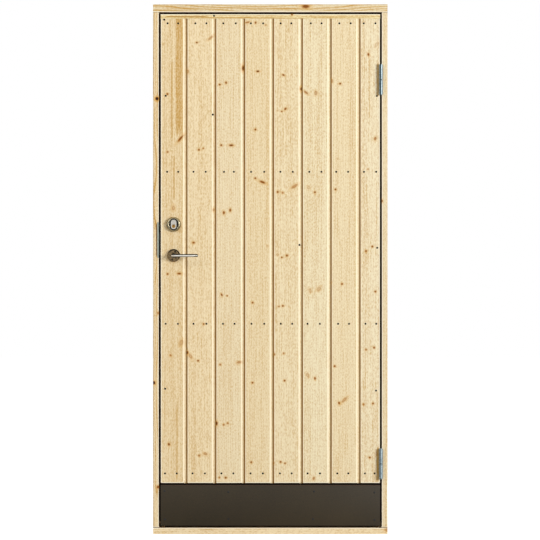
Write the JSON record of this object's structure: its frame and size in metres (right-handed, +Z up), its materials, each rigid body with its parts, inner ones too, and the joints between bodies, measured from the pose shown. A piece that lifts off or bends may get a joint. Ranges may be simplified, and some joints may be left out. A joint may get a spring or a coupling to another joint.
{
  "type": "shed door",
  "caption": "Outward-opening timber shed door: bevelled tongued and grooved leaf on lift-off hinges in a rebated frame, with lever, lock cylinder and kick plate.",
  "frame": {"origin": "middle of the threshold's underside, half way through the frame's depth", "axes": "+Z up, +X toward the hinge side as seen from outside, +Y into the wall; the outside face is at -Y"},
  "size_m": [0.79, 0.1387, 1.785],
  "materials": {
    "pine_frame": "planed, oiled",
    "pine_boards": "planed, oiled",
    "pine_framing": "planed",
    "brown_sheet": "matt",
    "zinc": "zinc plated",
    "steel": "zinc plated",
    "chrome": "polished",
    "nickel": "satin",
    "dark_nickel": "satin",
    "seal": "matt"
  },
  "bodies": {
    "frame": {"frame_head": "pine_frame", "jamb_left": "pine_frame", "jamb_right": "pine_frame", "threshold": "pine_frame", "strike_plate": "steel", "seal_left": "seal", "seal_right": "seal", "seal_head": "seal", "hinge_frame_top": "zinc", "hinge_frame_bottom": "zinc"},
    "leaf": {"board_1": "pine_boards", "board_2": "pine_boards", "board_3": "pine_boards", "board_4": "pine_boards", "board_5": "pine_boards", "board_6": "pine_boards", "board_7": "pine_boards", "board_8": "pine_boards", "top_batten": "pine_boards", "kick_plate": "brown_sheet", "stile_left": "pine_framing", "stile_right": "pine_framing", "rail_top": "pine_framing", "rail_upper": "pine_framing", "rail_lower": "pine_framing", "rail_bottom": "pine_framing", "hinge_leaf_top": "zinc", "hinge_leaf_bottom": "zinc", "lock_case": "steel", "lock_bolts": "steel", "cylinder_ring_outside": "chrome", "cylinder_ring_inside": "chrome", "cylinder_outside": "nickel", "cylinder_inside": "nickel", "rose_outside": "dark_nickel", "rose_inside": "dark_nickel"},
    "lever": {"lever_outside": "chrome", "lever_inside": "chrome", "spindle": "steel"}
  },
  "joints": [
    {"name": "door_swing", "type": "hinge", "parent": "frame", "child": "leaf", "pos_m": [0.3725, -0.0532, 0.884], "axis": [0, 0, 1], "range_deg": [0, 170]},
    {"name": "lever_turn", "type": "hinge", "parent": "leaf", "child": "lever", "pos_m": [-0.3256, -0.024, 0.9385], "axis": [0, 1, 0], "range_deg": [0, 45], "stiffness_Nm_per_rad": 1.5, "springref_deg": -28.65}
  ]
}
